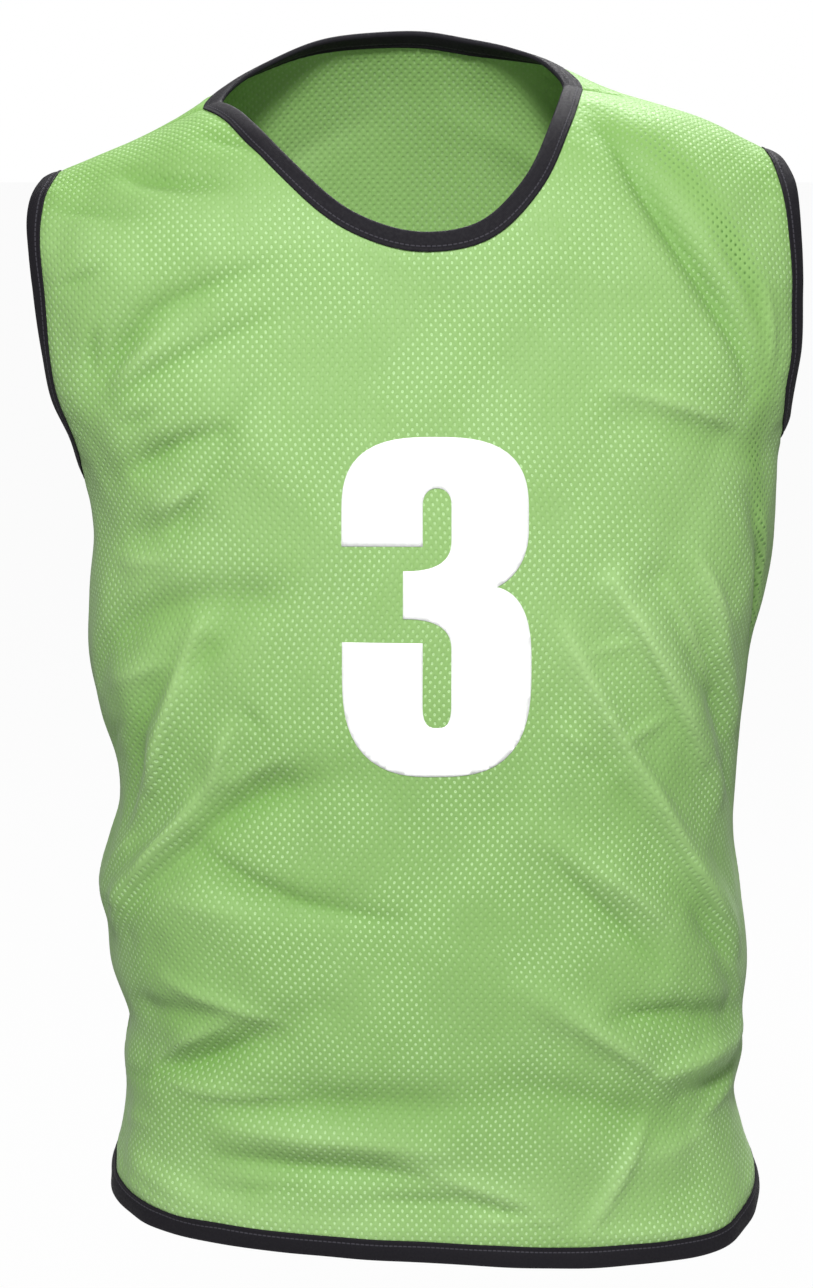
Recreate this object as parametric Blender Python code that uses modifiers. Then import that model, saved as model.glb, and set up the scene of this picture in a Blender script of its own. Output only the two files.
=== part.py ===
"""A sleeveless mesh training bib, filled out as it hangs on a wearer.

Two knitted panels meet at the shoulder and side seams, and folded tapes bind
the neck, both armholes and the hem. The origin lies midway between the
shoulders at the height of the neck points: +X is the image right side of the
garment seen from its front, -Y is its front and +Z is up.
"""

import math

import bmesh
import bpy
import numpy as np
from mathutils import Vector
from mathutils.geometry import delaunay_2d_cdt

MM = 0.001

# Cloth and tape, in metres
KNIT_THICKNESS = 1.0 * MM
TAPE_THICKNESS = 0.9 * MM
SEAM_GAP = 0.4 * MM
TAPE_CLEARANCE = 0.45 * MM
NECK_TAPE_WIDTH = 10.5 * MM
ARMHOLE_TAPE_WIDTH = 10.0 * MM
HEM_TAPE_WIDTH = 12.5 * MM

# Spacing of the points that carry the cloth, in metres
PANEL_SPACING = 19.5 * MM
EDGE_SPACING = 10.0 * MM
SEAM_SPACING = 17.0 * MM
# Steps along a curve or a ring while its length is measured
FINE_STEPS = 400
# Degrees and drop over which the cloth's direction is measured
STEP = 0.5
# A point between stays this share of the spacing away from an outline
CLEAR_OF_OUTLINE = 0.62
# Points of the outline closer than this, in metres, are one
SAME_POINT = 1e-7

# The shoulder rolls over from the shoulder seam to the chest as a quarter
# turn. Drop is the cloth's distance below the level of the neck points: it is
# SEAM_DROP at the shoulder seam, and from CHEST_DROP down it is the height.
SEAM_DROP = -45.0
CHEST_DROP = 110.0
# The back panel stands up behind the neck, fading out to both sides
NAPE_RISE = 60.0
NAPE_MIDDLE = -4.0
NAPE_HALF_WIDTH = 180.0
# A ring is an ellipse with its corners pushed out by this share
SQUARENESS = 0.035
# No fold stirs the shoulder seam, and folds are whole this far below it
SEAM_STILL = 60.0
# Millimetres of cloth for each degree round the body, for widths of folds
GIRTH_PER_DEGREE = 3.2
# A fold keeps this share of its height at its ends, and falls off beside its line
FOLD_END = 0.35
FOLD_SHARPNESS = 1.6
# The ring whose length spaces the points round the body
GIRTH_DROP = 400.0

# Rings round the body, in millimetres: how far the left and right sides stand
# from the middle, and how deep the front and the back are
SECTIONS = (
    # drop, left, right, front, back
    (-45, -245, 252, 90, 86),
    (60, -244, 255, 97, 92),
    (110, -241, 257, 102, 97),
    (150, -234, 253, 108, 102),
    (178, -226, 243, 113, 105),
    (203, -212, 233, 117, 107),
    (232, -200, 231, 120, 108),
    (262, -195, 230, 123, 108),
    (300, -198, 225, 125, 107),
    (340, -199, 216, 126, 105),
    (378, -192, 211, 126, 104),
    (406, -184, 209, 125, 104),
    (440, -183, 208, 125, 105),
    (463, -190, 209, 126, 107),
    (490, -196, 213, 127, 109),
    (515, -190, 216, 128, 111),
    (545, -187, 217, 128, 112),
    (575, -178, 214, 127, 113),
    (600, -182, 215, 126, 113),
    (625, -181, 210, 125, 113),
    (650, -184, 216, 123, 113),
    (680, -190, 225, 122, 114),
    (720, -195, 230, 121, 115),
)

# Height of the shoulder line, in millimetres
SHOULDER_LINE = (
    # across, height
    (-255, -62),
    (-215, -43),
    (-165, -22),
    (-115, -1),
    (-60, 9),
    (0, 12),
    (60, 11),
    (102, 8),
    (135, 3),
    (185, -11),
    (217, -27),
    (255, -46),
)

# Edges of the panels, as angle from the panel's middle and drop. An armhole
# runs from the shoulder tip to the underarm, the neck from left to right.
NECK_FRONT = (
    # degrees, drop
    (-25.2, -45),
    (-21.5, -2),
    (-15, 42),
    (-7, 73),
    (0.5, 82),
    (7.5, 77),
    (13, 56),
    (17, 18),
    (19, -20),
    (19.6, -45),
)
NECK_BACK = (
    # degrees, drop
    (-25.2, -45),
    (-22.5, -17),
    (-14, 8),
    (-6.5, 19),
    (0.5, 22),
    (7.5, 19),
    (13.5, 4),
    (17.5, -20),
    (19.6, -45),
)
LEFT_ARMHOLE_FRONT = (
    # degrees, drop
    (-62, -45),
    (-65.5, 15),
    (-67, 100),
    (-69, 150),
    (-73, 188),
    (-80, 213),
    (-90, 226),
)
LEFT_ARMHOLE_BACK = (
    # degrees, drop
    (-62, -45),
    (-65, 15),
    (-67, 100),
    (-69, 150),
    (-73, 188),
    (-80, 213),
    (-90, 226),
)
RIGHT_ARMHOLE_FRONT = (
    # degrees, drop
    (61, -45),
    (64.5, 15),
    (65.5, 100),
    (67, 145),
    (71, 172),
    (79, 190),
    (90, 197),
)
RIGHT_ARMHOLE_BACK = (
    # degrees, drop
    (61, -45),
    (66.5, 15),
    (68.5, 100),
    (69.5, 145),
    (73.5, 172),
    (81, 190),
    (90, 197),
)
HEM_FRONT = (
    # degrees, drop
    (-90, 678),
    (-75, 686),
    (-60, 691),
    (-30, 696),
    (0, 702),
    (30, 708),
    (60, 706),
    (78, 694),
    (90, 684),
)
HEM_BACK = (
    # degrees, drop
    (-90, 678),
    (-60, 680),
    (-30, 684),
    (0, 686),
    (30, 684),
    (60, 676),
    (90, 684),
)

# Largest folds of the cloth. Turn is the angle round the body from the middle
# of the front, through 90 at the right side seam to 180 at the back.
FOLDS = (
    # turn, drop, to turn, to drop, half width mm, height mm, bow mm
    # Left of the front: a fan from the underarm, then long diagonals
    (-60, 195, -30, 105, 18, -4, 0),
    (-60, 212, -36, 192, 13, -3, 0),
    (-58, 258, -36, 228, 13, -4, 0),
    (-72, 346, -24, 287, 17, -7, 12),
    (-74, 437, -34, 318, 15, 9, 0),
    (-68, 440, -26, 295, 15, -7, 8),
    (-44, 425, -14, 398, 18, -6, 0),
    (-70, 505, -34, 408, 15, 8, 0),
    (-62, 506, -24, 404, 14, -6, 8),
    (-42, 450, -12, 478, 14, -4, -8),
    (-66, 543, -34, 534, 13, -6, 0),
    (-62, 592, -18, 542, 15, -6, -10),
    (-40, 606, 3, 584, 17, -7, 12),
    (-38, 634, -2, 637, 14, -4, 0),
    (-64, 650, -30, 670, 13, 4, 0),
    # Right of the front: a groove from neck to underarm, then a fan downward
    (23, 0, 57, 168, 13, -6, 12),
    (24, 165, 64, 210, 13, -4, 0),
    (60, 235, 80, 335, 15, -6, 0),
    (28, 282, 64, 420, 15, 7, 0),
    (36, 280, 68, 395, 13, -6, 0),
    (45, 290, 72, 378, 13, 5, 0),
    (19, 306, 34, 392, 18, 4, 0),
    (34, 398, 70, 516, 16, 7, 0),
    (17, 432, 44, 490, 18, 5, 0),
    (50, 480, 68, 546, 14, -6, 0),
    (15, 530, 42, 588, 15, 6, 0),
    (42, 588, 78, 580, 14, 6, 0),
    (32, 548, 72, 566, 13, -7, 0),
    (48, 606, 80, 597, 13, -6, 0),
    (12, 590, 52, 626, 17, -6, 0),
    (26, 662, 54, 664, 14, -4, 0),
    # Shoulders
    (-34, 42, -18, 66, 15, -3, 0),
    # Left of the back
    (-102, 262, -132, 196, 17, -6, 0),
    (-96, 336, -142, 290, 17, -6, -10),
    (-98, 425, -150, 350, 17, 8, 0),
    (-100, 462, -156, 398, 16, -7, 0),
    (-97, 524, -146, 470, 16, 7, 0),
    (-100, 562, -162, 540, 16, -6, 10),
    (-112, 622, -166, 602, 17, -6, 0),
    # Right of the back
    (102, 222, 136, 172, 16, -5, 0),
    (99, 300, 142, 332, 17, 7, 0),
    (101, 348, 152, 400, 17, -7, 0),
    (98, 430, 142, 482, 16, 7, 0),
    (103, 476, 152, 530, 16, -7, 0),
    (101, 560, 162, 582, 17, 6, -8),
    (106, 604, 166, 628, 16, -6, 0),
    # Middle of the back
    (160, 330, 206, 352, 20, -5, 0),
    (164, 524, 202, 500, 20, 5, 0),
    (158, 130, 200, 112, 20, -3, 0),
)


def through(table, column, where):
    """A column of a table, read along its first column on a smooth curve."""
    rows = np.array(table, float)
    places = rows[:, 0]
    values = rows[:, column]
    leans = np.gradient(values, places)
    where = np.clip(where, places[0], places[-1])
    row = np.clip(np.searchsorted(places, where, side="right") - 1, 0, len(places) - 2)
    step = places[row + 1] - places[row]
    along = (where - places[row]) / step
    start = (1 + 2 * along) * (1 - along) ** 2 * values[row]
    start += along * (1 - along) ** 2 * step * leans[row]
    end = along**2 * (3 - 2 * along) * values[row + 1]
    end += along**2 * (along - 1) * step * leans[row + 1]
    return start + end


def ease(value, low, high):
    """0 below low and 1 above high, with a soft step between them."""
    part = np.clip((value - low) / (high - low), 0, 1)
    return part * part * (3 - 2 * part)


def fold_height(turn, drop):
    """How far the folds push the cloth out at each point, in millimetres."""
    height = np.zeros_like(turn)
    for turn_a, drop_a, turn_b, drop_b, half_width, rise, bow in FOLDS:
        along = np.array(((turn_b - turn_a) * GIRTH_PER_DEGREE, drop_b - drop_a), float)
        length = math.hypot(*along)
        along /= length
        for lap in (-360, 0, 360):
            across = (turn + lap - turn_a) * GIRTH_PER_DEGREE
            down = drop - drop_a
            run = (across * along[0] + down * along[1]) / length
            held = np.clip(run, 0, 1)
            off = across * along[1] - down * along[0] - bow * 4 * held * (1 - held)
            beyond = (run - held) * length
            fall = np.exp(-FOLD_SHARPNESS * (off**2 + beyond**2) / half_width**2)
            height += rise * fall * (FOLD_END + (1 - FOLD_END) * np.sin(math.pi * held))
    return height


def smooth_cloth(side, angle, drop):
    """The cloth without its folds: side is -1 on the front and 1 on the back."""
    left = through(SECTIONS, 1, drop)
    right = through(SECTIONS, 2, drop)
    depth = through(SECTIONS, 3 if side < 0 else 4, drop)
    bend = np.radians(angle)
    across = (np.sin(bend) + SQUARENESS * np.sin(3 * bend)) / (1 - SQUARENESS)
    out = (np.cos(bend) - SQUARENESS * np.cos(3 * bend)) / (1 - SQUARENESS)
    x = (left + right) / 2 + (right - left) / 2 * across
    roll = np.clip((drop - SEAM_DROP) / (CHEST_DROP - SEAM_DROP), 0, 1) * math.pi / 2
    top = through(SHOULDER_LINE, 1, x)
    z = np.where(drop > CHEST_DROP, -drop, -CHEST_DROP + (CHEST_DROP + top) * np.cos(roll))
    if side > 0:
        nape = np.clip(1 - ((x - NAPE_MIDDLE) / NAPE_HALF_WIDTH) ** 2, 0, 1) ** 2
        z = z + NAPE_RISE * nape * np.sin(2 * roll)
    y = side * depth * out * np.sin(roll)
    return np.stack((x, y, z), -1) * MM


def slopes(side, angle, drop):
    """How the cloth runs for one degree round the body, and for one unit of drop."""
    low = np.maximum(drop - STEP, SEAM_DROP)
    wide = smooth_cloth(side, angle + STEP, drop) - smooth_cloth(side, angle - STEP, drop)
    tall = smooth_cloth(side, angle, drop + STEP) - smooth_cloth(side, angle, low)
    return wide / (2 * STEP), tall / (drop + STEP - low)[:, None]


def normals(side, angle, drop):
    """Unit normals that point out of the body."""
    wide, tall = slopes(side, angle, drop)
    out = np.cross(tall, wide) * -side
    return out / np.linalg.norm(out, axis=1, keepdims=True)


def cloth(side, angle, drop):
    """Points in the middle of the finished cloth."""
    turn = angle if side < 0 else np.where(angle < 0, -180, 180) - angle
    rise = fold_height(turn, drop) * ease(drop, SEAM_DROP, SEAM_DROP + SEAM_STILL)
    return smooth_cloth(side, angle, drop) + normals(side, angle, drop) * rise[:, None] * MM


def sizes_of(side, points):
    """Length of one degree and of one unit of drop along the cloth, at each point."""
    wide, tall = slopes(side, *points.T)
    return np.column_stack((np.linalg.norm(wide, axis=1), np.linalg.norm(tall, axis=1)))


def curve_points(side, table, seams, spacing):
    """Evenly spaced points (degrees, drop) on a smooth curve that meets its seams squarely."""
    knots = np.array(table, float)
    runs = np.linalg.norm(np.diff(cloth(side, *knots.T), axis=0), axis=1)
    places = np.append(0, np.cumsum(runs))
    turned = []
    for end, seam in zip((0, -1), seams):
        inner = knots[1] if end == 0 else knots[-2]
        over_shoulder = (inner[0], 2 * knots[end][1] - inner[1])
        over_side = (2 * knots[end][0] - inner[0], inner[1])
        turned.append(over_shoulder if seam == "shoulder" else over_side)
    rows = np.column_stack((
        np.concatenate(((-runs[0],), places, (places[-1] + runs[-1],))),
        np.concatenate((turned[:1], knots, turned[1:])),
    ))
    fine = np.linspace(0, places[-1], FINE_STEPS)
    angle = through(rows, 1, fine)
    drop = through(rows, 2, fine)
    runs = np.linalg.norm(np.diff(cloth(side, angle, drop), axis=0), axis=1)
    length = np.append(0, np.cumsum(runs))
    even = np.linspace(0, length[-1], round(length[-1] / spacing) + 1)
    return np.column_stack((np.interp(even, length, angle), np.interp(even, length, drop)))


def moved_in(side, edge, width, hand, seams):
    """The edge moved over the cloth by width, to the hand of its travel. Its ends stay on their seams."""
    sizes = sizes_of(side, edge)
    run = np.gradient(edge, axis=0) * sizes
    for end, seam in zip((0, -1), seams):
        run[end] = run[end] * ((0, 1) if seam == "shoulder" else (1, 0))
    across = np.column_stack((-run[:, 1], run[:, 0])) * hand
    across /= np.linalg.norm(across, axis=1, keepdims=True)
    return edge + across * width / sizes


def bound_edge(side, table, width, hand, seams):
    """An edge that a tape binds, and the line on the cloth that the tape reaches."""
    edge = curve_points(side, table, seams, EDGE_SPACING)
    return edge, moved_in(side, edge, width, hand, seams)


def clear_of_seams(side, points):
    """The points kept half a seam gap away from the shoulder seam and the side seams."""
    away = SEAM_GAP / 2 / sizes_of(side, points)
    angle = np.clip(points[:, 0], away[:, 0] - 90, 90 - away[:, 0])
    drop = np.maximum(points[:, 1], SEAM_DROP + away[:, 1])
    return np.column_stack((angle, drop))


def seam_points(side, start, end):
    """Points along a seam between two ends, without the ends."""
    length = np.linalg.norm(np.diff(cloth(side, *np.array((start, end)).T), axis=0))
    count = max(1, round(length / SEAM_SPACING))
    along = np.arange(1, count)[:, None] / count
    return start + (end - start) * along


def inside(outline, points):
    """Which points lie inside a closed outline."""
    found = np.zeros(len(points), bool)
    for (x_a, y_a), (x_b, y_b) in zip(outline, np.roll(outline, -1, axis=0)):
        if y_a == y_b:
            continue
        crosses = (points[:, 1] < y_a) != (points[:, 1] < y_b)
        found ^= crosses & (points[:, 0] < x_a + (points[:, 1] - y_a) * (x_b - x_a) / (y_b - y_a))
    return found


def material(name, color, roughness):
    """A plain material of the part."""
    made = bpy.data.materials.new(name)
    made.use_nodes = True
    shader = made.node_tree.nodes["Principled BSDF"]
    shader.inputs["Base Color"].default_value = (*color, 1)
    shader.inputs["Roughness"].default_value = roughness
    shader.inputs["Metallic"].default_value = 0
    return made


def sheet_object(name, points, faces, thickness, look, collection):
    """An open sheet with Solidify, half its thickness to each side."""
    mesh = bpy.data.meshes.new(name)
    mesh.from_pydata([tuple(point) for point in points], [], faces)
    built = bmesh.new()
    built.from_mesh(mesh)
    bmesh.ops.recalc_face_normals(built, faces=built.faces)
    built.to_mesh(mesh)
    built.free()
    mesh.materials.append(look)
    mesh.shade_smooth()
    made = bpy.data.objects.new(name, mesh)
    collection.objects.link(made)
    solid = made.modifiers.new("Cloth", "SOLIDIFY")
    solid.thickness = thickness
    solid.offset = 0
    return made


def bound_strip(edge, inset, slant):
    """Triangles between an edge and its inset line. Slant says which way the diagonals run."""
    faces = []
    for spot in range(len(edge) - 1):
        here, after = (edge[spot], inset[spot]), (edge[spot + 1], inset[spot + 1])
        if slant:
            faces += [(here[0], after[0], after[1]), (here[0], after[1], here[1])]
        else:
            faces += [(here[0], after[0], here[1]), (here[1], after[0], after[1])]
    return faces


def make_panel(name, side, edges, look, collection):
    """A knitted panel from its bound edges: neck, left armhole, right armhole, hem."""
    bound = [[clear_of_seams(side, line) for line in pair] for pair in edges]
    neck, left, right, hem = (inset for _, inset in bound)
    sections = (
        neck,
        seam_points(side, neck[-1], right[0]),
        right,
        seam_points(side, right[-1], hem[-1]),
        hem[::-1],
        seam_points(side, hem[0], left[-1]),
        left[::-1],
        seam_points(side, left[0], neck[0]),
    )
    outline = clear_of_seams(side, np.concatenate(sections))

    # Rows of points between, staggered and evenly spaced round the body
    turn = np.linspace(-90, 90, FINE_STEPS)
    ring = smooth_cloth(side, turn, np.full_like(turn, GIRTH_DROP))
    girth = np.append(0, np.cumsum(np.linalg.norm(np.diff(ring, axis=0), axis=1)))
    rows = np.arange(SEAM_DROP, SECTIONS[-1][0], PANEL_SPACING / MM * math.sqrt(0.75))
    grid = []
    for number, drop in enumerate(rows):
        start = PANEL_SPACING / 2 * (number % 2)
        angles = np.interp(np.arange(start, girth[-1], PANEL_SPACING), girth, turn)
        grid.append(np.column_stack((angles, np.full_like(angles, drop))))
    grid = np.concatenate(grid)
    grid = grid[inside(outline, grid)]
    reach = smooth_cloth(side, *grid.T)[:, None] - smooth_cloth(side, *outline.T)
    gaps = np.linalg.norm(reach, axis=-1).min(axis=1)
    grid = grid[gaps > CLEAR_OF_OUTLINE * PANEL_SPACING]

    # The panel inside its bound edges, meshed as it lies flat
    spots = np.concatenate((outline, grid))
    laid = np.column_stack((np.interp(spots[:, 0], turn, girth), -spots[:, 1] * MM))
    around = list(range(len(outline)))
    sides = list(zip(around, around[1:] + around[:1]))
    found = delaunay_2d_cdt([Vector(spot) for spot in laid], sides, [], 1, SAME_POINT)
    faces = [tuple(found[3][corner][0] for corner in face) for face in found[2]]

    # The strips that the tapes cover
    starts = np.cumsum([0] + [len(section) for section in sections])
    strips = []
    for place, (edge, inset), turned in (
        (0, bound[0], False), (6, bound[1], True), (2, bound[2], False), (4, bound[3], True)
    ):
        line = list(range(starts[place], starts[place] + len(inset)))
        line = line[::-1] if turned else line
        rim = list(range(len(spots), len(spots) + len(edge)))
        faces += bound_strip(rim, line, side < 0)
        spots = np.concatenate((spots, edge))
        strips.append((rim, line))
    points = cloth(side, *spots.T)
    panel = sheet_object(name, points, faces, KNIT_THICKNESS, look, collection)
    out = np.array([spot.vector for spot in panel.data.vertex_normals])
    out *= np.sign((out * normals(side, *spots.T)).sum(axis=1, keepdims=True))
    return [(points[rim], points[line], out[rim], out[line]) for rim, line in strips]


def joined(ahead, behind):
    """Rows round a closed edge: ahead on the front, then back along the back, met at the seams."""
    met = (ahead[[0, -1]] + behind[[0, -1]]) / 2
    return np.concatenate((met[:1], ahead[1:-1], met[1:], behind[-2:0:-1]))


def make_tape(name, front, back, look, collection):
    """A folded tape round a closed edge, made from the points of the panels that it binds."""
    edge, inset, edge_out, inset_out = (joined(*pair) for pair in zip(front, back))
    edge_out /= np.linalg.norm(edge_out, axis=1, keepdims=True)
    inset_out /= np.linalg.norm(inset_out, axis=1, keepdims=True)
    away = KNIT_THICKNESS / 2 + TAPE_CLEARANCE + TAPE_THICKNESS / 2
    beyond = edge - inset
    beyond /= np.linalg.norm(beyond, axis=1, keepdims=True)
    lines = (
        inset - inset_out * away,
        edge - edge_out * away,
        edge + beyond * away,
        edge + edge_out * away,
        inset + inset_out * away,
    )
    count = len(edge)
    points = np.concatenate(lines)
    faces = []
    for spot in range(count):
        near = [line * count + spot for line in range(len(lines))]
        far = [line * count + (spot + 1) % count for line in range(len(lines))]
        faces += [(near[1], far[0], near[0]), (near[1], far[1], far[0])]
        faces += [(near[1], near[2], far[2], far[1]), (near[2], near[3], far[3], far[2])]
        faces += [(near[3], near[4], far[4]), (near[3], far[4], far[3])]
    return sheet_object(name, points, faces, TAPE_THICKNESS, look, collection)


def main():
    """Clears the scene and makes the bib."""
    for old in list(bpy.data.objects):
        bpy.data.objects.remove(old)
    bib = bpy.data.collections.new("mesh_training_bib")
    bpy.context.scene.collection.children.link(bib)
    knit_front = material("front knit", (0.31, 0.60, 0.18), 0.75)
    knit_back = material("back knit", (0.30, 0.58, 0.17), 0.75)
    tapes = {
        name: material(name.replace("_", " "), (0.016, 0.014, 0.018), 0.8)
        for name in ("neck_binding", "armhole_binding_left", "armhole_binding_right", "hem_binding")
    }

    shoulder_ends = ("shoulder", "shoulder")
    arm_ends = ("shoulder", "side")
    side_ends = ("side", "side")
    edges = {}
    for side, neck, left, right, hem in (
        (-1, NECK_FRONT, LEFT_ARMHOLE_FRONT, RIGHT_ARMHOLE_FRONT, HEM_FRONT),
        (1, NECK_BACK, LEFT_ARMHOLE_BACK, RIGHT_ARMHOLE_BACK, HEM_BACK),
    ):
        edges[side] = (
            bound_edge(side, neck, NECK_TAPE_WIDTH, 1, shoulder_ends),
            bound_edge(side, left, ARMHOLE_TAPE_WIDTH, -1, arm_ends),
            bound_edge(side, right, ARMHOLE_TAPE_WIDTH, 1, arm_ends),
            bound_edge(side, hem, HEM_TAPE_WIDTH, -1, side_ends),
        )
    front = make_panel("front_panel", -1, edges[-1], knit_front, bib)
    back = make_panel("back_panel", 1, edges[1], knit_back, bib)
    for (name, look), ahead, behind in zip(tapes.items(), front, back):
        make_tape(name, ahead, behind, look, bib)


if __name__ == "__main__":
    main()
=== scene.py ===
import functools
import math

import bpy
import numpy as np
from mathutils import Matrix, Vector
from mathutils.geometry import delaunay_2d_cdt


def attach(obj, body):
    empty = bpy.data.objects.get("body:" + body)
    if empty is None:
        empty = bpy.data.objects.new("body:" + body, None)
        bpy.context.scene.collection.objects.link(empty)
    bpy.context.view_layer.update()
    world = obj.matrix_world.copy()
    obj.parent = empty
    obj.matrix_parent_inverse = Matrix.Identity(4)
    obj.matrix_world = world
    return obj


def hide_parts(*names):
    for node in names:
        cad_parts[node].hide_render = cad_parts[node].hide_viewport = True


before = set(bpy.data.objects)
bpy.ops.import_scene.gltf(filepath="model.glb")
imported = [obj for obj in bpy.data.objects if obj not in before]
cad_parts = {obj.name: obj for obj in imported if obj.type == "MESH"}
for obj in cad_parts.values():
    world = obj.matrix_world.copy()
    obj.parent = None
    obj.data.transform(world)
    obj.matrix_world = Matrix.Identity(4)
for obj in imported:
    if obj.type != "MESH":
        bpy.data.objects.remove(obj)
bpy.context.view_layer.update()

scene = bpy.context.scene
mm = 0.001
print("packed model loaded:", ", ".join(sorted(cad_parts)))

# The cloth is placed by an angle from the middle of its panel and by a drop,
# its distance below the neck points in millimetres. Turn is the angle round the
# whole body: 0 at the middle of the front, 90 at the right side seam.
body = {
    "seamDrop": -45.0,        # drop at the shoulder seam
    "chestDrop": 110.0,       # from here down the drop is the height
    "napeRise": 60.0,         # how far the back stands up behind the neck
    "napeMiddle": -4.0,
    "napeHalfWidth": 180.0,
    "squareness": 0.035,      # how far a ring's corners push out
    "seamStill": 60.0,        # folds are whole this far below the shoulder seam
    "girthPerDegree": 3.2,    # millimetres round the body for each degree
    "foldEnd": 0.35,          # share of its height that a fold keeps at its ends
    "foldSharpness": 1.6,
    "foldReach": 4.0,         # half widths from its line at which a fold has ended
    "foldShape": 1.0,         # 1 rounds a fold's crest, less gives a crisper line
    "creaseShape": 0.72,
}

sections = (
    # drop, left, right, front, back
    (-45, -245, 252, 90, 86),
    (60, -244, 255, 97, 92),
    (110, -241, 257, 102, 97),
    (150, -234, 253, 108, 102),
    (178, -226, 243, 113, 105),
    (203, -212, 233, 117, 107),
    (232, -200, 231, 120, 108),
    (262, -195, 230, 123, 108),
    (300, -198, 225, 125, 107),
    (340, -199, 216, 126, 105),
    (378, -192, 211, 126, 104),
    (406, -184, 209, 125, 104),
    (440, -183, 208, 125, 105),
    (463, -190, 209, 126, 107),
    (490, -196, 213, 127, 109),
    (515, -190, 216, 128, 111),
    (545, -187, 217, 128, 112),
    (575, -178, 214, 127, 113),
    (600, -182, 215, 126, 113),
    (625, -181, 210, 125, 113),
    (650, -184, 216, 123, 113),
    (680, -190, 225, 122, 114),
    (720, -195, 230, 121, 115),
)

shoulderLine = (
    # across, height
    (-255, -62), (-215, -43), (-165, -22), (-115, -1), (-60, 9), (0, 12),
    (60, 11), (102, 8), (135, 3), (185, -11), (217, -27), (255, -46),
)

# The largest folds, those of the solid, some of them moved a little to where they show
folds = (
    # turn, drop, to turn, to drop, half width mm, height mm, bow mm
    (-60, 195, -30, 105, 18, -4, 0),
    (-60, 226, -30, 196, 13, -3, 0),
    (-60, 263, -36, 244, 13, -4, 0),
    (-72, 346, -24, 287, 17, -7, 12),
    (-66, 446, -36, 314, 15, 8, -6),
    (-68, 440, -26, 295, 15, -7, 8),
    (-44, 425, -14, 398, 19, -4.5, 0),
    (-70, 505, -34, 408, 15, 8, 0),
    (-62, 506, -24, 404, 14, -6, 8),
    (-42, 450, -12, 478, 14, -4, -8),
    (-66, 557, -36, 550, 12, -5, 0),
    (-62, 592, -18, 542, 15, -6, -10),
    (-40, 610, 6, 602, 18, -6, 3),
    (-38, 641, -2, 645, 12, -4, 0),
    (-68, 657, -34, 673, 12, 4, 0),
    (23, 4, 53, 168, 12, -5, -7),
    (28, 183, 64, 214, 12, -3, 0),
    (60, 235, 80, 335, 15, -6, 0),
    (28, 282, 64, 420, 15, 7, 0),
    (36, 280, 68, 395, 13, -6, 0),
    (45, 290, 72, 378, 13, 5, 0),
    (19, 306, 34, 392, 18, 4, 0),
    (34, 398, 70, 516, 16, 7, 0),
    (17, 432, 44, 490, 18, 5, 0),
    (50, 480, 68, 546, 14, -6, 0),
    (15, 530, 42, 588, 15, 6, 0),
    (42, 588, 78, 580, 14, 6, 0),
    (32, 548, 72, 566, 13, -7, 0),
    (48, 606, 80, 597, 13, -6, 0),
    (12, 592, 50, 626, 19, -4, 0),
    (26, 664, 54, 666, 16, -1.4, 0),
    (-41, 19, -23, 51, 11, -3, -4),
    (-102, 262, -132, 196, 17, -6, 0),
    (-96, 336, -142, 290, 17, -6, -10),
    (-98, 425, -150, 350, 17, 8, 0),
    (-100, 462, -156, 398, 16, -7, 0),
    (-97, 524, -146, 470, 16, 7, 0),
    (-100, 562, -162, 540, 16, -6, 10),
    (-112, 622, -166, 602, 17, -6, 0),
    (102, 222, 136, 172, 16, -5, 0),
    (99, 300, 142, 332, 17, 7, 0),
    (101, 348, 152, 400, 17, -7, 0),
    (98, 430, 142, 482, 16, 7, 0),
    (103, 476, 152, 530, 16, -7, 0),
    (101, 560, 162, 582, 17, 6, -8),
    (106, 604, 166, 628, 16, -6, 0),
    (160, 330, 206, 352, 20, -5, 0),
    (164, 524, 202, 500, 20, 5, 0),
    (158, 130, 200, 112, 20, -3, 0),
)

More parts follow.
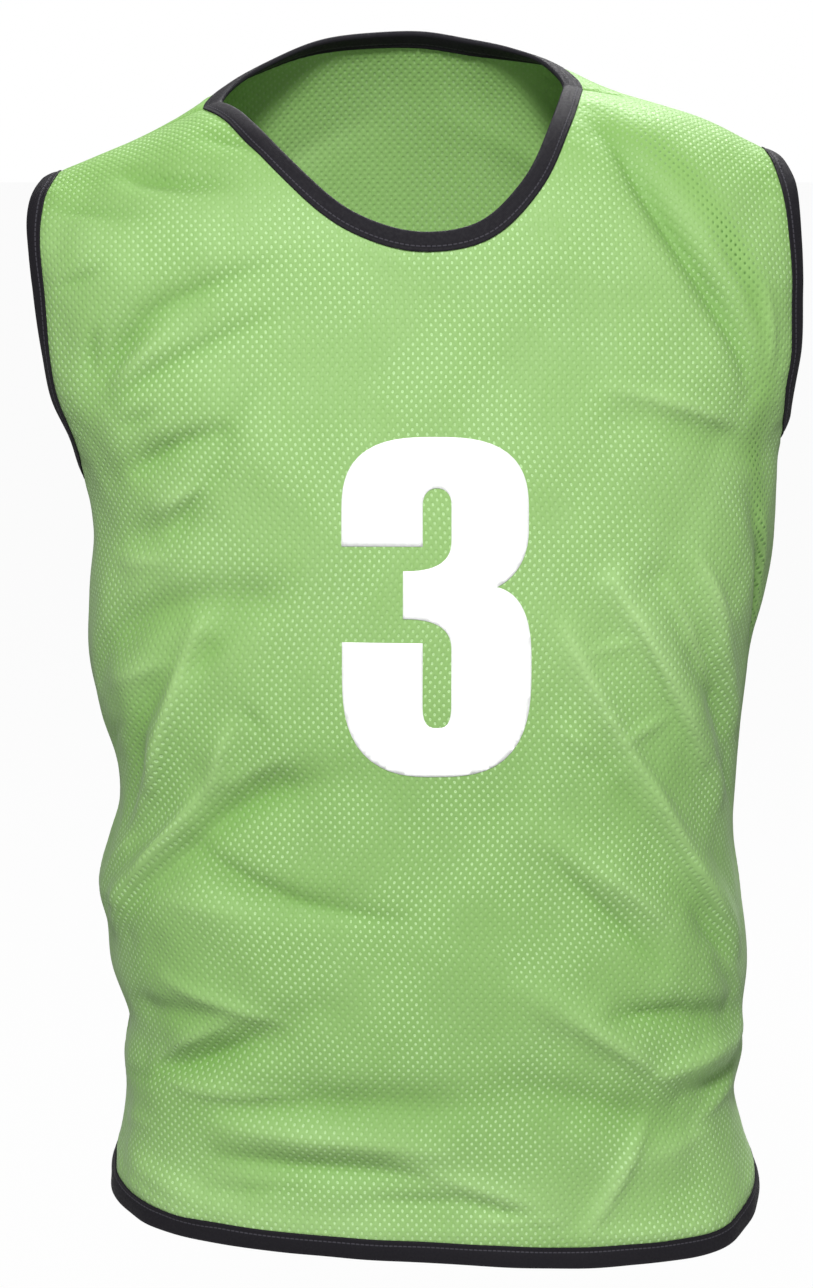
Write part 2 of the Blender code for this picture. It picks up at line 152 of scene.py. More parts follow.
# Finer creases that only the looks carry
creases = (
    # turn, drop, to turn, to drop, half width mm, height mm, bow mm
    # Left shoulder and neck
    (-40, 18, -24, 50, 7, -3.4, -4),
    (-58, 32, -36, 60, 9, -2.6, 0),
    (-27, 10, -20, 30, 7, -2.6, 0),
    (-57, 110, -46, 96, 9, -2.6, 0),
    (-53, 160, -48, 134, 6, -3.2, 0),
    # Fan from the left underarm
    (-49, 163, -35, 119, 8, -3.8, 0),
    (-37, 124, -19, 97, 9, -3.8, 2),
    (-49, 180, -20, 126, 8, -4.0, 0),
    (-46, 164, -34, 136, 7, 2.6, 0),
    (-48, 193, -39, 180, 6, -2.6, 0),
    (-50, 220, -28, 190, 7, -4.4, 2),
    (-46, 240, -33, 222, 8, 3.4, 0),
    (-43, 253, -31, 217, 8, -3.6, 2),
    (-32, 220, -22, 168, 9, -2.4, 0),
    (-60, 275, -46, 270, 7, 2.6, 0),
    (-62, 350, -44, 333, 8, 2.8, 0),
    # Long crisp ridges down the left, with their hollows
    (-54, 412, -37, 311, 7, 5.2, -5),
    (-56, 470, -37, 404, 7.5, 5.0, 3),
    (-38, 408, -31, 370, 7, 4.4, 0),
    (-50, 404, -42, 352, 8, -2.8, 0),
    (-37, 338, -31, 314, 7, -2.0, 0),
    (-28, 356, -25, 372, 6, -1.6, 0),
    (-33, 404, -22, 386, 8, 2.0, 0),
    (-39, 432, -18, 400, 9, -1.6, 0),
    (-40, 446, -17, 477, 7.5, -2.4, 0),
    (-20, 474, -3, 485, 8, -2.4, -1),
    (-48, 480, -28, 484, 12, 1.8, 0),
    (-76, 396, -62, 376, 6, -2.0, 2),
    (-76, 474, -62, 448, 6, 2.2, 0),
    (-78, 500, -62, 494, 6, -2.2, 2),
    # Left of the belly
    (-50, 531, -24, 551, 8, 3.2, 0),
    (-60, 588, -34, 552, 5.5, 3.4, 0),
    (-56, 593, -30, 563, 8, -3.0, -3),
    (-52, 598, -22, 597, 7, 3.2, -2),
    (-38, 621, 2, 632, 12, 3.6, 2),
    (-38, 642, 2, 647, 9, -2.0, 0),
    (-74, 606, -56, 598, 6, -2.0, 0),
    (-76, 636, -58, 630, 6, 1.8, 2),
    # Above the hem on the left
    (-40, 664, -18, 657, 7, -1.8, 0),
    (-64, 672, -38, 684, 5, 2.2, 0),
    (-46, 682, 6, 692, 13, 2.6, 0),
    (-10, 664, 5, 664, 8, -2.4, 0),
    (4, 662, 15, 678, 7, -2.8, 0),
    (-4, 640, 16, 668, 11, 3.0, 0),
    (6, 676, 19, 677, 5, 2.2, 0),
    # Groove from the neck to the right armhole
    (24, 18, 50, 160, 7.5, -5.4, -4),
    (42, 76, 54, 140, 7, -2.2, 0),
    (52, 108, 57, 158, 5, 2.2, 0),
    (25, 166, 50, 190, 6, 2.6, 1),
    (32, 181, 56, 200, 7, -1.2, 0),
    # Right of the number
    (44, 270, 55, 312, 6.5, 4.2, 0),
    (38, 286, 56, 352, 6.5, 5.0, -1),
    (27, 280, 54, 396, 7, 5.6, -2),
    (33, 312, 49, 384, 6.5, -3.0, 0),
    (20, 307, 31, 370, 7, 4.4, 0),
    (30, 364, 52, 464, 7, 5.6, -1),
    (26, 380, 40, 440, 9, -1.6, 0),
    (32, 379, 42, 365, 5, 2.0, 0),
    (21, 367, 27, 384, 6, 1.8, 0),
    (25, 322, 32, 318, 5, 1.4, 0),
    (64, 240, 76, 300, 6, 2.0, 3),
    (68, 262, 80, 338, 5, -2.2, 2),
    (60, 392, 76, 432, 6, -2.2, 2),
    # Right of the belly
    (20, 448, 40, 520, 8, -3.2, 0),
    (28, 456, 44, 500, 9, 2.4, 2),
    (50, 458, 61, 495, 6.5, 4.2, 0),
    (55, 513, 72, 543, 6.5, 3.8, 0),
    (28, 549, 46, 551, 6, -2.4, 0),
    (22, 548, 41, 590, 6.5, 2.8, 0),
    (40, 590, 64, 576, 6.5, 2.6, 0),
    (14, 588, 38, 618, 14, -1.2, 0),
    (39, 622, 24, 684, 6, 4.4, 0),
    (40, 643, 60, 632, 11, 2.4, 0),
    (36, 670, 62, 662, 13, -0.6, 0),
    (54, 626, 74, 606, 6, 2.4, 0),
    (24, 690, 58, 694, 9, 2.0, 0),
    # Left of the back
    (-100, 226, -122, 176, 7, -2.9, 3),
    (-98, 246, -126, 214, 7, 2.7, 0),
    (-104, 290, -132, 262, 8, -2.9, 0),
    (-98, 312, -124, 300, 6, 2.9, 2),
    (-102, 372, -130, 338, 8, -2.7, 0),
    (-96, 398, -118, 384, 6, 3.2, 0),
    (-104, 442, -136, 418, 7, 2.6, 3),
    (-96, 486, -120, 478, 6, -3.2, 0),
    (-102, 544, -132, 520, 8, -2.9, 0),
    (-98, 590, -126, 580, 6, 3.2, 2),
    (-104, 608, -134, 606, 7, -2.6, 0),
    (-98, 640, -128, 650, 6, 3.0, 0),
    (-110, 662, -140, 658, 7, -2.7, 3),
    # Right of the back
    (100, 204, 124, 158, 7, -2.9, 3),
    (102, 254, 128, 262, 7, 2.7, 0),
    (98, 278, 120, 300, 6, -3.0, 0),
    (104, 322, 132, 350, 8, 2.7, 0),
    (98, 378, 122, 410, 6, -3.2, 2),
    (100, 410, 128, 446, 7, 2.9, 0),
    (104, 458, 130, 496, 7, -2.7, 0),
    (98, 506, 124, 536, 6, 3.2, 0),
    (102, 540, 132, 560, 8, -2.9, 3),
    (100, 588, 126, 606, 6, -3.0, 0),
    (104, 622, 134, 646, 7, 2.7, 0),
    (100, 656, 126, 668, 6, -2.9, 2),
    # Middle of the back
    (150, 84, 176, 66, 11, -2.2, 3),
    (186, 66, 210, 90, 11, 2.1, 3),
    (164, 176, 196, 168, 13, -2.2, 4),
    (156, 246, 190, 236, 13, 2.1, -4),
    (172, 296, 204, 300, 12, -2.1, 0),
    (152, 402, 186, 424, 12, -2.2, 4),
    (178, 452, 208, 440, 12, 2.2, 0),
    (156, 566, 190, 552, 12, -2.4, -4),
    (174, 606, 206, 620, 11, 2.2, 0),
    (150, 652, 184, 662, 10, -2.2, 3),
)


def through(table, column, where):
    # a column of a table, read along its first column on a smooth curve
    rows = np.array(table, float)
    places, values = rows[:, 0], rows[:, column]
    leans = np.gradient(values, places)
    where = np.clip(where, places[0], places[-1])
    row = np.clip(np.searchsorted(places, where, side="right") - 1, 0, len(places) - 2)
    step = places[row + 1] - places[row]
    along = (where - places[row]) / step
    start = (1 + 2 * along) * (1 - along) ** 2 * values[row]
    start += along * (1 - along) ** 2 * step * leans[row]
    end = along**2 * (3 - 2 * along) * values[row + 1]
    end += along**2 * (along - 1) * step * leans[row + 1]
    return start + end


def ease(value, low, high):
    part = np.clip((value - low) / (high - low), 0, 1)
    return part * part * (3 - 2 * part)


def foldHeight(turn, drop, table, shape=body["foldShape"]):
    # how far folds push the cloth out at each point, in millimetres
    height = np.zeros_like(turn)
    for turnA, dropA, turnB, dropB, halfWidth, rise, bow in table:
        along = np.array(((turnB - turnA) * body["girthPerDegree"], dropB - dropA), float)
        length = math.hypot(*along)
        reach = body["foldReach"] * halfWidth + abs(bow)
        low, high = np.minimum(along, 0) - reach, np.maximum(along, 0) + reach
        along /= length
        for lap in (-360, 0, 360):
            across = (turn + lap - turnA) * body["girthPerDegree"]
            down = drop - dropA
            near = (across > low[0]) & (across < high[0]) & (down > low[1]) & (down < high[1])
            across, down = across[near], down[near]
            run = (across * along[0] + down * along[1]) / length
            held = np.clip(run, 0, 1)
            off = across * along[1] - down * along[0] - bow * 4 * held * (1 - held)
            beyond = (run - held) * length
            fall = np.exp(-body["foldSharpness"] * ((off**2 + beyond**2) / halfWidth**2) ** shape)
            height[near] += rise * fall * (body["foldEnd"] + (1 - body["foldEnd"]) * np.sin(math.pi * held))
    return height


def smoothCloth(side, angle, drop):
    # the cloth without its folds: side is -1 on the front and 1 on the back
    left, right = through(sections, 1, drop), through(sections, 2, drop)
    depth = through(sections, 3 if side < 0 else 4, drop)
    square = body["squareness"]
    bend = np.radians(angle)
    across = (np.sin(bend) + square * np.sin(3 * bend)) / (1 - square)
    out = (np.cos(bend) - square * np.cos(3 * bend)) / (1 - square)
    x = (left + right) / 2 + (right - left) / 2 * across
    seam, chest = body["seamDrop"], body["chestDrop"]
    roll = np.clip((drop - seam) / (chest - seam), 0, 1) * math.pi / 2
    top = through(shoulderLine, 1, x)
    z = np.where(drop > chest, -drop, -chest + (chest + top) * np.cos(roll))
    if side > 0:
        nape = np.clip(1 - ((x - body["napeMiddle"]) / body["napeHalfWidth"]) ** 2, 0, 1) ** 2
        z = z + body["napeRise"] * nape * np.sin(2 * roll)
    y = side * depth * out * np.sin(roll)
    return np.stack((x, y, z), -1) * mm


def slopes(form, side, angle, drop, step=0.5):
    # how a form runs for one degree round the body, and for one unit of drop
    low = np.maximum(drop - step, body["seamDrop"])
    wide = form(side, angle + step, drop) - form(side, angle - step, drop)
    tall = form(side, angle, drop + step) - form(side, angle, low)
    return wide / (2 * step), tall / (drop + step - low)[:, None]


def outward(form, side, angle, drop):
    wide, tall = slopes(form, side, angle, drop)
    out = np.cross(tall, wide) * -side
    return out / np.maximum(np.linalg.norm(out, axis=1, keepdims=True), 1e-12)


def turnOf(side, angle):
    return angle if side < 0 else np.where(angle < 0, -180, 180) - angle


# The slow unevenness of worn cloth, as waves round and down the body
unevenness = (
    # waves round the body, length down mm, start, height mm
    (3, 410, 0.3, 0.55),
    (5, -300, 1.9, 0.50),
    (8, 210, 4.0, 0.45),
    (11, -150, 2.2, 0.38),
    (17, 118, 5.1, 0.28),
    (23, -84, 0.7, 0.20),
    (31, 66, 3.4, 0.14),
)


def waver(turn, drop):
    height = np.zeros_like(turn)
    for rounds, length, start, rise in unevenness:
        height += rise * np.sin(np.radians(turn) * rounds + 2 * math.pi * drop / length + start)
    return height


def cloth(side, angle, drop):
    # points in the middle of the cloth, with the part's own folds and the creases
    turn = turnOf(side, angle)
    rise = foldHeight(turn, drop, folds) + waver(turn, drop)
    rise += foldHeight(turn, drop, creases, body["creaseShape"])
    rise = rise * ease(drop, body["seamDrop"], body["seamDrop"] + body["seamStill"])
    out = outward(smoothCloth, side, angle, drop)
    return smoothCloth(side, angle, drop) + out * rise[:, None] * mm


# Bound edges of the panels. An armhole runs from the shoulder tip to the
# underarm, the neck and the hem run from left to right.
edgeTables = {
    "neck": (
        # degrees, drop: front, then back
        ((-25.2, -45), (-21.5, -2), (-15, 42), (-7, 73), (0.5, 82), (7.5, 77), (13, 56), (17, 18),
         (19, -20), (19.6, -45)),
        ((-25.2, -45), (-22.5, -17), (-14, 8), (-6.5, 19), (0.5, 22), (7.5, 19), (13.5, 4),
         (17.5, -20), (19.6, -45)),
    ),
    "leftArmhole": (
        ((-62, -45), (-65.5, 15), (-67, 100), (-69, 150), (-73, 188), (-80, 213), (-90, 226)),
        ((-62, -45), (-65, 15), (-67, 100), (-69, 150), (-73, 188), (-80, 213), (-90, 226)),
    ),
    "rightArmhole": (
        ((61, -45), (64.5, 15), (65.5, 100), (67, 145), (71, 172), (79, 190), (90, 197)),
        ((61, -45), (66.5, 15), (68.5, 100), (69.5, 145), (73.5, 172), (81, 190), (90, 197)),
    ),
    "hem": (
        ((-90, 678), (-75, 686), (-60, 691), (-30, 696), (0, 702), (30, 708), (60, 706), (78, 694),
         (90, 684)),
        ((-90, 678), (-60, 680), (-30, 684), (0, 686), (30, 684), (60, 676), (90, 684)),
    ),
}
# Which seams each edge ends on, and the hand to which the cloth lies from it
edgeRules = {
    "neck": ("shoulder", "shoulder", 1),
    "leftArmhole": ("shoulder", "side", -1),
    "rightArmhole": ("shoulder", "side", 1),
    "hem": ("side", "side", -1),
}
# Millimetres of each edge that its tape covers
tapeWidths = {"neck": 10.5, "leftArmhole": 10.0, "rightArmhole": 10.0, "hem": 12.5}


def lengthAlong(points):
    # how far along its line each point is
    return np.append(0, np.cumsum(np.linalg.norm(np.diff(points, axis=0), axis=1)))


def sizesOf(side, points):
    # length of one degree and of one unit of drop along the cloth, at each point
    wide, tall = slopes(smoothCloth, side, *points.T)
    return np.column_stack((np.linalg.norm(wide, axis=1), np.linalg.norm(tall, axis=1)))


@functools.cache
def edgeCurve(name, side, spacing):
    # evenly spaced points (degrees, drop) on an edge that meets its seams squarely
    knots = np.array(edgeTables[name][0 if side < 0 else 1], float)
    runs = np.linalg.norm(np.diff(cloth(side, *knots.T), axis=0), axis=1)
    places = np.append(0, np.cumsum(runs))
    turned = []
    for end, seam in zip((0, -1), edgeRules[name][:2]):
        inner = knots[1] if end == 0 else knots[-2]
        overShoulder = (inner[0], 2 * knots[end][1] - inner[1])
        overSide = (2 * knots[end][0] - inner[0], inner[1])
        turned.append(overShoulder if seam == "shoulder" else overSide)
    rows = np.column_stack((
        np.concatenate(((-runs[0],), places, (places[-1] + runs[-1],))),
        np.concatenate((turned[:1], knots, turned[1:])),
    ))
    fine = np.linspace(0, places[-1], 1200)
    angle, drop = through(rows, 1, fine), through(rows, 2, fine)
    length = lengthAlong(cloth(side, angle, drop))
    even = np.linspace(0, length[-1], round(length[-1] / spacing) + 1)
    return np.column_stack((np.interp(even, length, angle), np.interp(even, length, drop)))


def movedIn(name, side, edge, width):
    # the edge moved over the cloth by width; its ends stay on their seams
    sizes = sizesOf(side, edge)
    run = np.gradient(edge, axis=0) * sizes
    for end, seam in zip((0, -1), edgeRules[name][:2]):
        run[end] = run[end] * ((0, 1) if seam == "shoulder" else (1, 0))
    across = np.column_stack((-run[:, 1], run[:, 0])) * edgeRules[name][2]
    across /= np.linalg.norm(across, axis=1, keepdims=True)
    return edge + across * width / sizes


class Pattern:
    # the panel laid flat: millimetres along the cloth from its middle, for the knit
    def __init__(self, side):
        self.angles = np.arange(-91.0, 91.5, 1.0)
        self.drops = np.arange(body["seamDrop"], 741, 5.0)
        grid = np.meshgrid(self.angles, self.drops, indexing="ij")
        spots = smoothCloth(side, grid[0].ravel(), grid[1].ravel())
        spots = spots.reshape(*grid[0].shape, 3) / mm
        around = np.linalg.norm(np.diff(spots, axis=0), axis=2)
        self.u = np.concatenate((np.zeros((1, around.shape[1])), np.cumsum(around, axis=0)))
        self.u -= self.u[len(self.angles) // 2]
        down = np.linalg.norm(np.diff(spots, axis=1), axis=2)
        self.v = np.concatenate((np.zeros((down.shape[0], 1)), np.cumsum(down, axis=1)), axis=1)
        self.v -= self.v[:, [int((400 - body["seamDrop"]) / 5)]]

    def flat(self, angle, drop):
        a = np.clip(angle - self.angles[0], 0, len(self.angles) - 1.001)
        d = np.clip((drop - self.drops[0]) / 5, 0, len(self.drops) - 1.001)
        i, j = a.astype(int), d.astype(int)
        a, d = a - i, d - j
        found = []
        for field in (self.u, self.v):
            low = field[i, j] * (1 - a) + field[i + 1, j] * a
            high = field[i, j + 1] * (1 - a) + field[i + 1, j + 1] * a
            found.append(low * (1 - d) + high * d)
        return np.column_stack(found)


def insideOf(outline, points):
    found = np.zeros(len(points), bool)
    for (xA, yA), (xB, yB) in zip(outline, np.roll(outline, -1, axis=0)):
        if yA == yB:
            continue
        crosses = (points[:, 1] < yA) != (points[:, 1] < yB)
        found ^= crosses & (points[:, 0] < xA + (points[:, 1] - yA) * (xB - xA) / (yB - yA))
    return found


def facesOf(laid, ringCount, closeness):
    # triangles over flat points, the first of which run round the outline
    around = list(range(ringCount))
    sides = list(zip(around, around[1:] + around[:1]))
    found = delaunay_2d_cdt([Vector(spot) for spot in laid], sides, [], 1, closeness)
    return [tuple(found[3][corner][0] for corner in face) for face in found[2]]


def addSheet(name, points, faces, thickness, look, mapName, places):
    # a sheet with an even thickness, half to each side. Its map is in millimetres,
    # with one place for each point, or for each corner where the map has a seam.
    mesh = bpy.data.meshes.new(name)
    mesh.from_pydata([tuple(point) for point in points], [], faces)
    mesh.materials.append(look)
    if len(places) == len(points):
        corners = np.empty(len(mesh.loops), np.int32)
        mesh.loops.foreach_get("vertex_index", corners)
        places = places[corners]
    layer = mesh.uv_layers.new(name=mapName)
    layer.data.foreach_set("uv", np.ascontiguousarray(places, np.float32).ravel())
    mesh.shade_smooth()
    made = bpy.data.objects.new(name, mesh)
    scene.collection.objects.link(made)
    solid = made.modifiers.new("Cloth", "SOLIDIFY")
    solid.thickness = thickness
    solid.offset = 0
    return made


def setField(piece, name, values):
    # a number at each point of a piece, which its material reads
    field = piece.data.attributes.new(name, "FLOAT", "POINT")
    field.data.foreach_set("value", np.ascontiguousarray(values, np.float32))


# Shader groups that more than one material uses
def newGroup(name, sizes, results):
    tree = bpy.data.node_groups.new(name, "ShaderNodeTree")
    tree.interface.new_socket(name="Vector", in_out="INPUT", socket_type="NodeSocketVector")
    for title, size in sizes.items():
        socket = tree.interface.new_socket(name=title, in_out="INPUT", socket_type="NodeSocketFloat")
        socket.default_value = size
    for title in results:
        tree.interface.new_socket(name=title, in_out="OUTPUT", socket_type="NodeSocketFloat")
    return tree, tree.nodes.new("NodeGroupInput"), tree.nodes.new("NodeGroupOutput")


def feed(tree, socket, value):
    if isinstance(value, bpy.types.NodeSocket):
        tree.links.new(value, socket)
    else:
        socket.default_value = value


def feedAll(tree, node, **values):
    # fills a node's sockets by name, with _ for a space
    for title, value in values.items():
        feed(tree, node.inputs[title.replace("_", " ")], value)
    return node


def sums(tree, operation, a, b=0.0):
    node = tree.nodes.new("ShaderNodeMath")
    node.operation = operation
    feed(tree, node.inputs[0], a)
    feed(tree, node.inputs[1], b)
    return node.outputs[0]


def vectors(tree, operation, a, b=(0.0, 0.0, 0.0), scale=1.0):
    node = tree.nodes.new("ShaderNodeVectorMath")
    node.operation = operation
    feed(tree, node.inputs[0], a)
    feed(tree, node.inputs[1], b)
    if operation == "SCALE":
        feed(tree, node.inputs["Scale"], scale)
    return node.outputs["Vector"]


def separated(tree, vector):
    node = tree.nodes.new("ShaderNodeSeparateXYZ")
    return feedAll(tree, node, Vector=vector).outputs


def between(tree, value, low, high, toLow=0.0, toHigh=1.0, smooth=True):
    node = tree.nodes.new("ShaderNodeMapRange")
    node.interpolation_type = "SMOOTHSTEP" if smooth else "LINEAR"
    for socket, amount in zip(node.inputs, (value, low, high, toLow, toHigh)):
        feed(tree, socket, amount)
    return node.outputs[0]


def mixed(tree, share, a, b):
    node = tree.nodes.new("ShaderNodeMix")
    node.data_type = "RGBA"
    feed(tree, node.inputs["Factor"], share)
    feed(tree, node.inputs[6], a)
    feed(tree, node.inputs[7], b)
    return node.outputs[2]


def clouds(tree, vector, scale, detail=2.0, roughness=0.5, output="Fac"):
    node = tree.nodes.new("ShaderNodeTexNoise")
    feedAll(tree, node, Vector=vector, Scale=scale, Detail=detail, Roughness=roughness)
    return node.outputs[output]


def placed(tree, group, **values):
    node = tree.nodes.new("ShaderNodeGroup")
    node.node_tree = group
    return feedAll(tree, node, **values).outputs


# Staggered eyelets of the mesh knit. The vector and the sizes are in millimetres.
netSizes = {"Pitch": 5.6, "Half Width": 0.62, "Half Height": 0.78, "Wander": 0.9}
eyelets, entry, leave = newGroup("eyeletNet", netSizes, ("Eyelet", "Hole", "Height"))
given = entry.outputs
wander = clouds(eyelets, given["Vector"], 0.22, 1.0, output="Color")
wander = vectors(eyelets, "SUBTRACT", wander, (0.5, 0.5, 0.5))
wander = vectors(eyelets, "SCALE", wander, scale=given["Wander"])
netSpot = separated(eyelets, vectors(eyelets, "ADD", given["Vector"], wander))
reaches = []
for shift in (0.0, 0.5):
    parts = []
    for axis, half in (("X", "Half Width"), ("Y", "Half Height")):
        cell = sums(eyelets, "DIVIDE", netSpot[axis], given["Pitch"])
        cell = sums(eyelets, "FRACT", sums(eyelets, "ADD", cell, shift))
        cell = sums(eyelets, "MULTIPLY", sums(eyelets, "SUBTRACT", cell, 0.5), given["Pitch"])
        cell = sums(eyelets, "ABSOLUTE", sums(eyelets, "DIVIDE", cell, given[half]))
        parts.append(sums(eyelets, "POWER", cell, 2.0))
    reaches.append(sums(eyelets, "SQRT", sums(eyelets, "ADD", *parts)))
reach = sums(eyelets, "MINIMUM", *reaches)
for title, ramp in (
    ("Eyelet", (0.75, 1.5, 1.0, 0.0)), ("Hole", (0.35, 0.85, 1.0, 0.0)), ("Height", (0.5, 2.3)),
):
    eyelets.links.new(between(eyelets, reach, *ramp), leave.inputs[title])

# Fine loops of the knit: columns of small stitches, a little uneven
loopSizes = {"Column": 1.0, "Course": 0.86}
loops, entry, leave = newGroup("knitLoops", loopSizes, ("Height",))
loopSpot = separated(loops, entry.outputs["Vector"])
waves = []
for axis, size, share in (("X", "Column", 0.7), ("Y", "Course", 0.3)):
    angle = sums(loops, "MULTIPLY", loopSpot[axis], 2 * math.pi)
    wave = sums(loops, "SINE", sums(loops, "DIVIDE", angle, entry.outputs[size]))
    waves.append(sums(loops, "MULTIPLY", wave, share))
loopHeight = between(loops, sums(loops, "ADD", *waves), -1.0, 1.0, smooth=False)
loops.links.new(loopHeight, leave.inputs["Height"])
print("shader groups ready")


def newMaterial(name):
    look = bpy.data.materials.new(name)
    look.use_nodes = True
    return look, look.node_tree, look.node_tree.nodes["Principled BSDF"]


def mapOf(tree, name):
    node = tree.nodes.new("ShaderNodeUVMap")
    node.uv_map = name
    return node.outputs[0]


def fieldOf(tree, name):
    node = tree.nodes.new("ShaderNodeAttribute")
    node.attribute_name = name
    return node.outputs["Fac"]


def bumped(tree, height, strength, distance, normal=None):
    node = tree.nodes.new("ShaderNodeBump")
    feedAll(tree, node, Height=height, Strength=strength, Distance=distance)
    if normal is not None:
        feed(tree, node.inputs["Normal"], normal)
    return node.outputs[0]


def showMixed(tree, ending, share, first, second):
    # what shows is the first shader, with this share of the second
    node = tree.nodes.new("ShaderNodeMixShader")
    for socket, value in zip(node.inputs, (share, first, second)):
        feed(tree, socket, value)
    tree.links.new(node.outputs[0], tree.nodes[ending].inputs["Surface"])


knit = {
    "thickness": 0.7 * mm,
    "spacing": 3.2 * mm,
    "edgeSpacing": 3.5 * mm,
    "crestSpacing": 2.8 * mm,
    "apart": 0.62,                # share of the spacing kept between points
    "crestApart": 0.6,
    "thinCrease": 7,              # millimetres: half width up to which a crease has its own points
    "flank": 0.62,                # share of its half width at which its flanks have them
    "edgeUnderTape": 1.6 * mm,
    "seamGap": 0.4 * mm,
    "seamRoll": (0.55, 6.0, 3.2),     # millimetres: height, distance from the seam, half width
    "seamDip": (1.1, 2.2),            # millimetres: depth, half width
    "pucker": (0.4, 13.0, 11.0),      # millimetres: height, length along the tape, reach
    "tapeRoll": (0.5, 5.0, 7.0),      # millimetres: height, distance from the tape, half width
    "hemRoll": (0.9, 5.0, 7.0),
    "green": (0.262, 0.455, 0.148, 1),
    "paleGreen": (0.285, 0.480, 0.168, 1),
    "deepGreen": (0.222, 0.430, 0.098, 1),
    # eyelet colours: painted light where the cloth stands forward, painted shade in the grooves
    "eyeletPaintedLight": (0.50, 0.76, 0.36, 1),
    "eyeletPaintedShade": (0.095, 0.235, 0.040, 1),
    # painted highlight on the crease crests, painted shade in their hollows and round the waist
    "crestHighlightGreen": (0.400, 0.610, 0.255, 1),
    "hollowShadeGreen": (0.150, 0.330, 0.062, 1),
    "reliefOfFullTint": 5.0,      # millimetres of crease that give the full painted highlight on a crest and painted shade in a hollow
    "tint": 0.55,
    "foldShare": 0.3,             # how much of it the large folds count
    "shoulderDepth": 0.36,        # of the hollows' shade green: darker over the shoulders, and painted shade round the waist
    "waistShade": 0.26,
    "backShade": 0.45,            # how dark and how faint the back's eyelets are
    "backFaint": 0.25,
    "seeThrough": 0.3,
    "roughness": (0.52, 0.70),
    "sheen": (0.08, 0.45),        # weight, roughness
    "gloss": 0.3,
    "passLight": 0.10,
}


def knitMaterial(name):
    look, tree, shader = newMaterial(name)
    spot = mapOf(tree, "knit")
    net = placed(tree, eyelets, Vector=spot, **netSizes)
    yarn = placed(tree, loops, Vector=spot, **loopSizes)
    patches = between(tree, clouds(tree, spot, 0.02, 3.0), 0.3, 0.7, 0.1, 0.6)
    streaks = clouds(tree, vectors(tree, "MULTIPLY", spot, (0.9, 0.02, 1.0)), 1.0, 1.0)
    color = mixed(tree, patches, knit["green"], knit["paleGreen"])
    # Painted highlight along a crease's crest, and painted shade in its hollow and round the waist; the
    # green is also darker over the shoulders
    for share, tint in (
        # the deep green: darker over the shoulders, and painted shade where the eyelets are shaded
        (fieldOf(tree, "deep"), "deepGreen"),
        (between(tree, streaks, 0.35, 0.75, 0.0, 0.22), "deepGreen"),
        (fieldOf(tree, "crest"), "crestHighlightGreen"),
        (fieldOf(tree, "hollow"), "hollowShadeGreen"),
    ):
        color = mixed(tree, share, color, knit[tint])
    # The eyelets are painted pale with light where the cloth stands forward, and painted dark with shade in
    # the grooves
    dot = mixed(tree, fieldOf(tree, "shade"), knit["eyeletPaintedLight"], knit["eyeletPaintedShade"])
    plain = clouds(tree, vectors(tree, "ADD", spot, (310.0, 90.0, 0.0)), 0.016, 2.0)
    plain = between(tree, plain, 0.36, 0.58, 0.25, 1.0)
    clear = sums(tree, "MULTIPLY", plain, fieldOf(tree, "clear"))
    color = mixed(tree, sums(tree, "MULTIPLY", net["Eyelet"], clear), color, dot)
    hole = sums(tree, "MULTIPLY", net["Hole"], clear)
    fine = bumped(tree, yarn["Height"], 0.35, 0.12 * mm)
    sheen, sheenRoughness = knit["sheen"]
    feedAll(
        tree, shader, Base_Color=color,
        Roughness=between(tree, clouds(tree, spot, 0.4, 2.0), 0.3, 0.7, *knit["roughness"]),
        Alpha=sums(tree, "SUBTRACT", 1.0, sums(tree, "MULTIPLY", hole, knit["seeThrough"])),
        Normal=bumped(tree, net["Height"], 0.8, 0.35 * mm, fine),
        Sheen_Weight=sheen, Sheen_Roughness=sheenRoughness, Specular_IOR_Level=knit["gloss"],
    )
    glow = feedAll(tree, tree.nodes.new("ShaderNodeBsdfTranslucent"), Color=color)
    showMixed(tree, "Material Output", knit["passLight"], shader.outputs[0], glow.outputs[0])
    return look


def clearOfSeams(side, points):
    away = knit["seamGap"] / 2 / sizesOf(side, points)
    angle = np.clip(points[:, 0], away[:, 0] - 90, 90 - away[:, 0])
    drop = np.maximum(points[:, 1], body["seamDrop"] + away[:, 1])
    return np.column_stack((angle, drop))


def seamPoints(side, start, end):
    length = np.linalg.norm(np.diff(cloth(side, *np.array((start, end)).T), axis=0))
    count = max(1, round(length / knit["spacing"]))
    return start + (end - start) * np.arange(1, count)[:, None] / count


# Painted light in the eyelets on the parts of the front that stand forward, and painted shade in them in
# its grooves and beside the side seams
eyeletShading = (
    # turn, drop, to turn, to drop, half width mm, darkness, bow mm
    (23, -10, 57, 168, 15, 1.0, 12),
    (57, 168, 66, 250, 17, 1.0, 0),
    (66, 250, 80, 345, 22, 1.0, 0),
    (80, 345, 84, 420, 20, 0.8, 0),
    (82, 210, 84, 640, 22, 0.7, 0),
    (-84, 240, -82, 640, 20, 0.6, 0),
    (-74, 437, -34, 318, 11, 0.4, 0),
)
eyeletFaint = (
    # turn, drop, to turn, to drop, half width mm, faintness, bow mm
    (-52, 60, -30, 30, 30, 0.7, 0),
    (-58, 130, -44, 110, 26, 0.8, 0),
    (-48, 330, -36, 300, 28, 0.6, 0),
    (-66, 380, -50, 340, 24, 0.7, 0),
    (-30, 360, -30, 300, 24, 0.6, 0),
    (36, 330, 46, 420, 22, 0.6, 0),
    (26, 60, 36, 130, 20, 0.5, 0),
    (52, 20, 58, 90, 16, 0.5, 0),
    (-60, 560, -40, 520, 22, 0.5, 0),
    (50, 500, 66, 560, 22, 0.5, 0),
)


